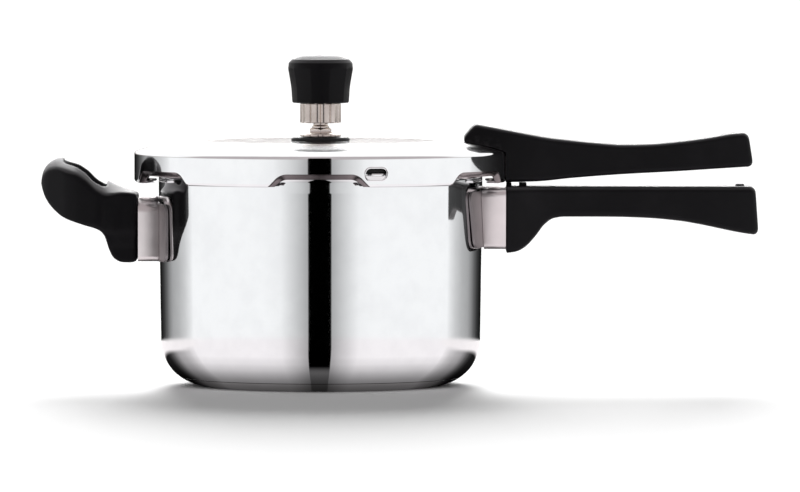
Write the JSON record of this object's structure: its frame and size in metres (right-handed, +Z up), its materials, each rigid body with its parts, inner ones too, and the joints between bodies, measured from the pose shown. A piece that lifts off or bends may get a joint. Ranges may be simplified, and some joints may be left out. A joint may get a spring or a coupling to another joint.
{
  "type": "stovetop pressure cooker",
  "caption": "Stainless stovetop pressure cooker: outer bayonet lid with a weighted steam vent, a long double handle and a short loop handle.",
  "frame": {"origin": "centre of the base's underside, on the plane the cooker stands on", "axes": "+Z up along the pot's axis, +X towards the long handles, +Y to the back where the safety plug is"},
  "size_m": [0.4119, 0.214, 0.1896],
  "materials": {
    "mirror_steel": "polished",
    "satin_steel": "satin",
    "nickel": "gloss",
    "brass": "satin",
    "aluminium": "satin",
    "fusible_alloy": "matte",
    "bakelite": "satin",
    "rubber": "matte",
    "fibre": "matte"
  },
  "bodies": {
    "pot": {"pot_shell": "mirror_steel", "base_heat_spreader": "aluminium", "base_capsule": "satin_steel", "body_handle_bracket": "satin_steel", "body_handle_collar": "satin_steel", "body_handle": "bakelite", "body_handle_screw": "satin_steel", "helper_handle_bracket": "satin_steel", "helper_handle_collar": "satin_steel", "helper_handle": "bakelite", "helper_handle_screw": "satin_steel"},
    "seal": {"sealing_ring": "rubber"},
    "lid": {"lid_shell": "mirror_steel", "lid_handle_bracket": "satin_steel", "lid_handle": "bakelite", "lid_handle_screw_1": "satin_steel", "lid_handle_screw_2": "satin_steel", "vent_tube": "nickel", "vent_inner_washer": "fibre", "vent_rubber_seat": "rubber", "vent_washer": "nickel", "vent_nut": "nickel", "safety_plug_washer": "rubber", "safety_plug": "brass", "safety_plug_alloy": "fusible_alloy", "safety_plug_nut": "brass"},
    "weight_carrier": {"weight_clip": "satin_steel"},
    "weight": {"weight_body": "nickel", "weight_needle": "satin_steel", "weight_cap": "bakelite"}
  },
  "joints": [
    {"name": "lid_lift", "type": "slide", "parent": "pot", "child": "seal", "axis": [0, 0, 1], "range_m": [0, 0.09]},
    {"name": "lid_twist", "type": "hinge", "parent": "seal", "child": "lid", "pos_m": [0, 0, 0.125], "axis": [0, 0, 1], "range_deg": [0, 30]},
    {"name": "weight_lift", "type": "slide", "parent": "lid", "child": "weight_carrier", "axis": [0, 0, 1], "range_m": [0, 0.03]},
    {"name": "weight_spin", "type": "hinge", "parent": "weight_carrier", "child": "weight", "pos_m": [0, 0, 0.1548], "axis": [0, 0, 1], "continuous": true}
  ]
}
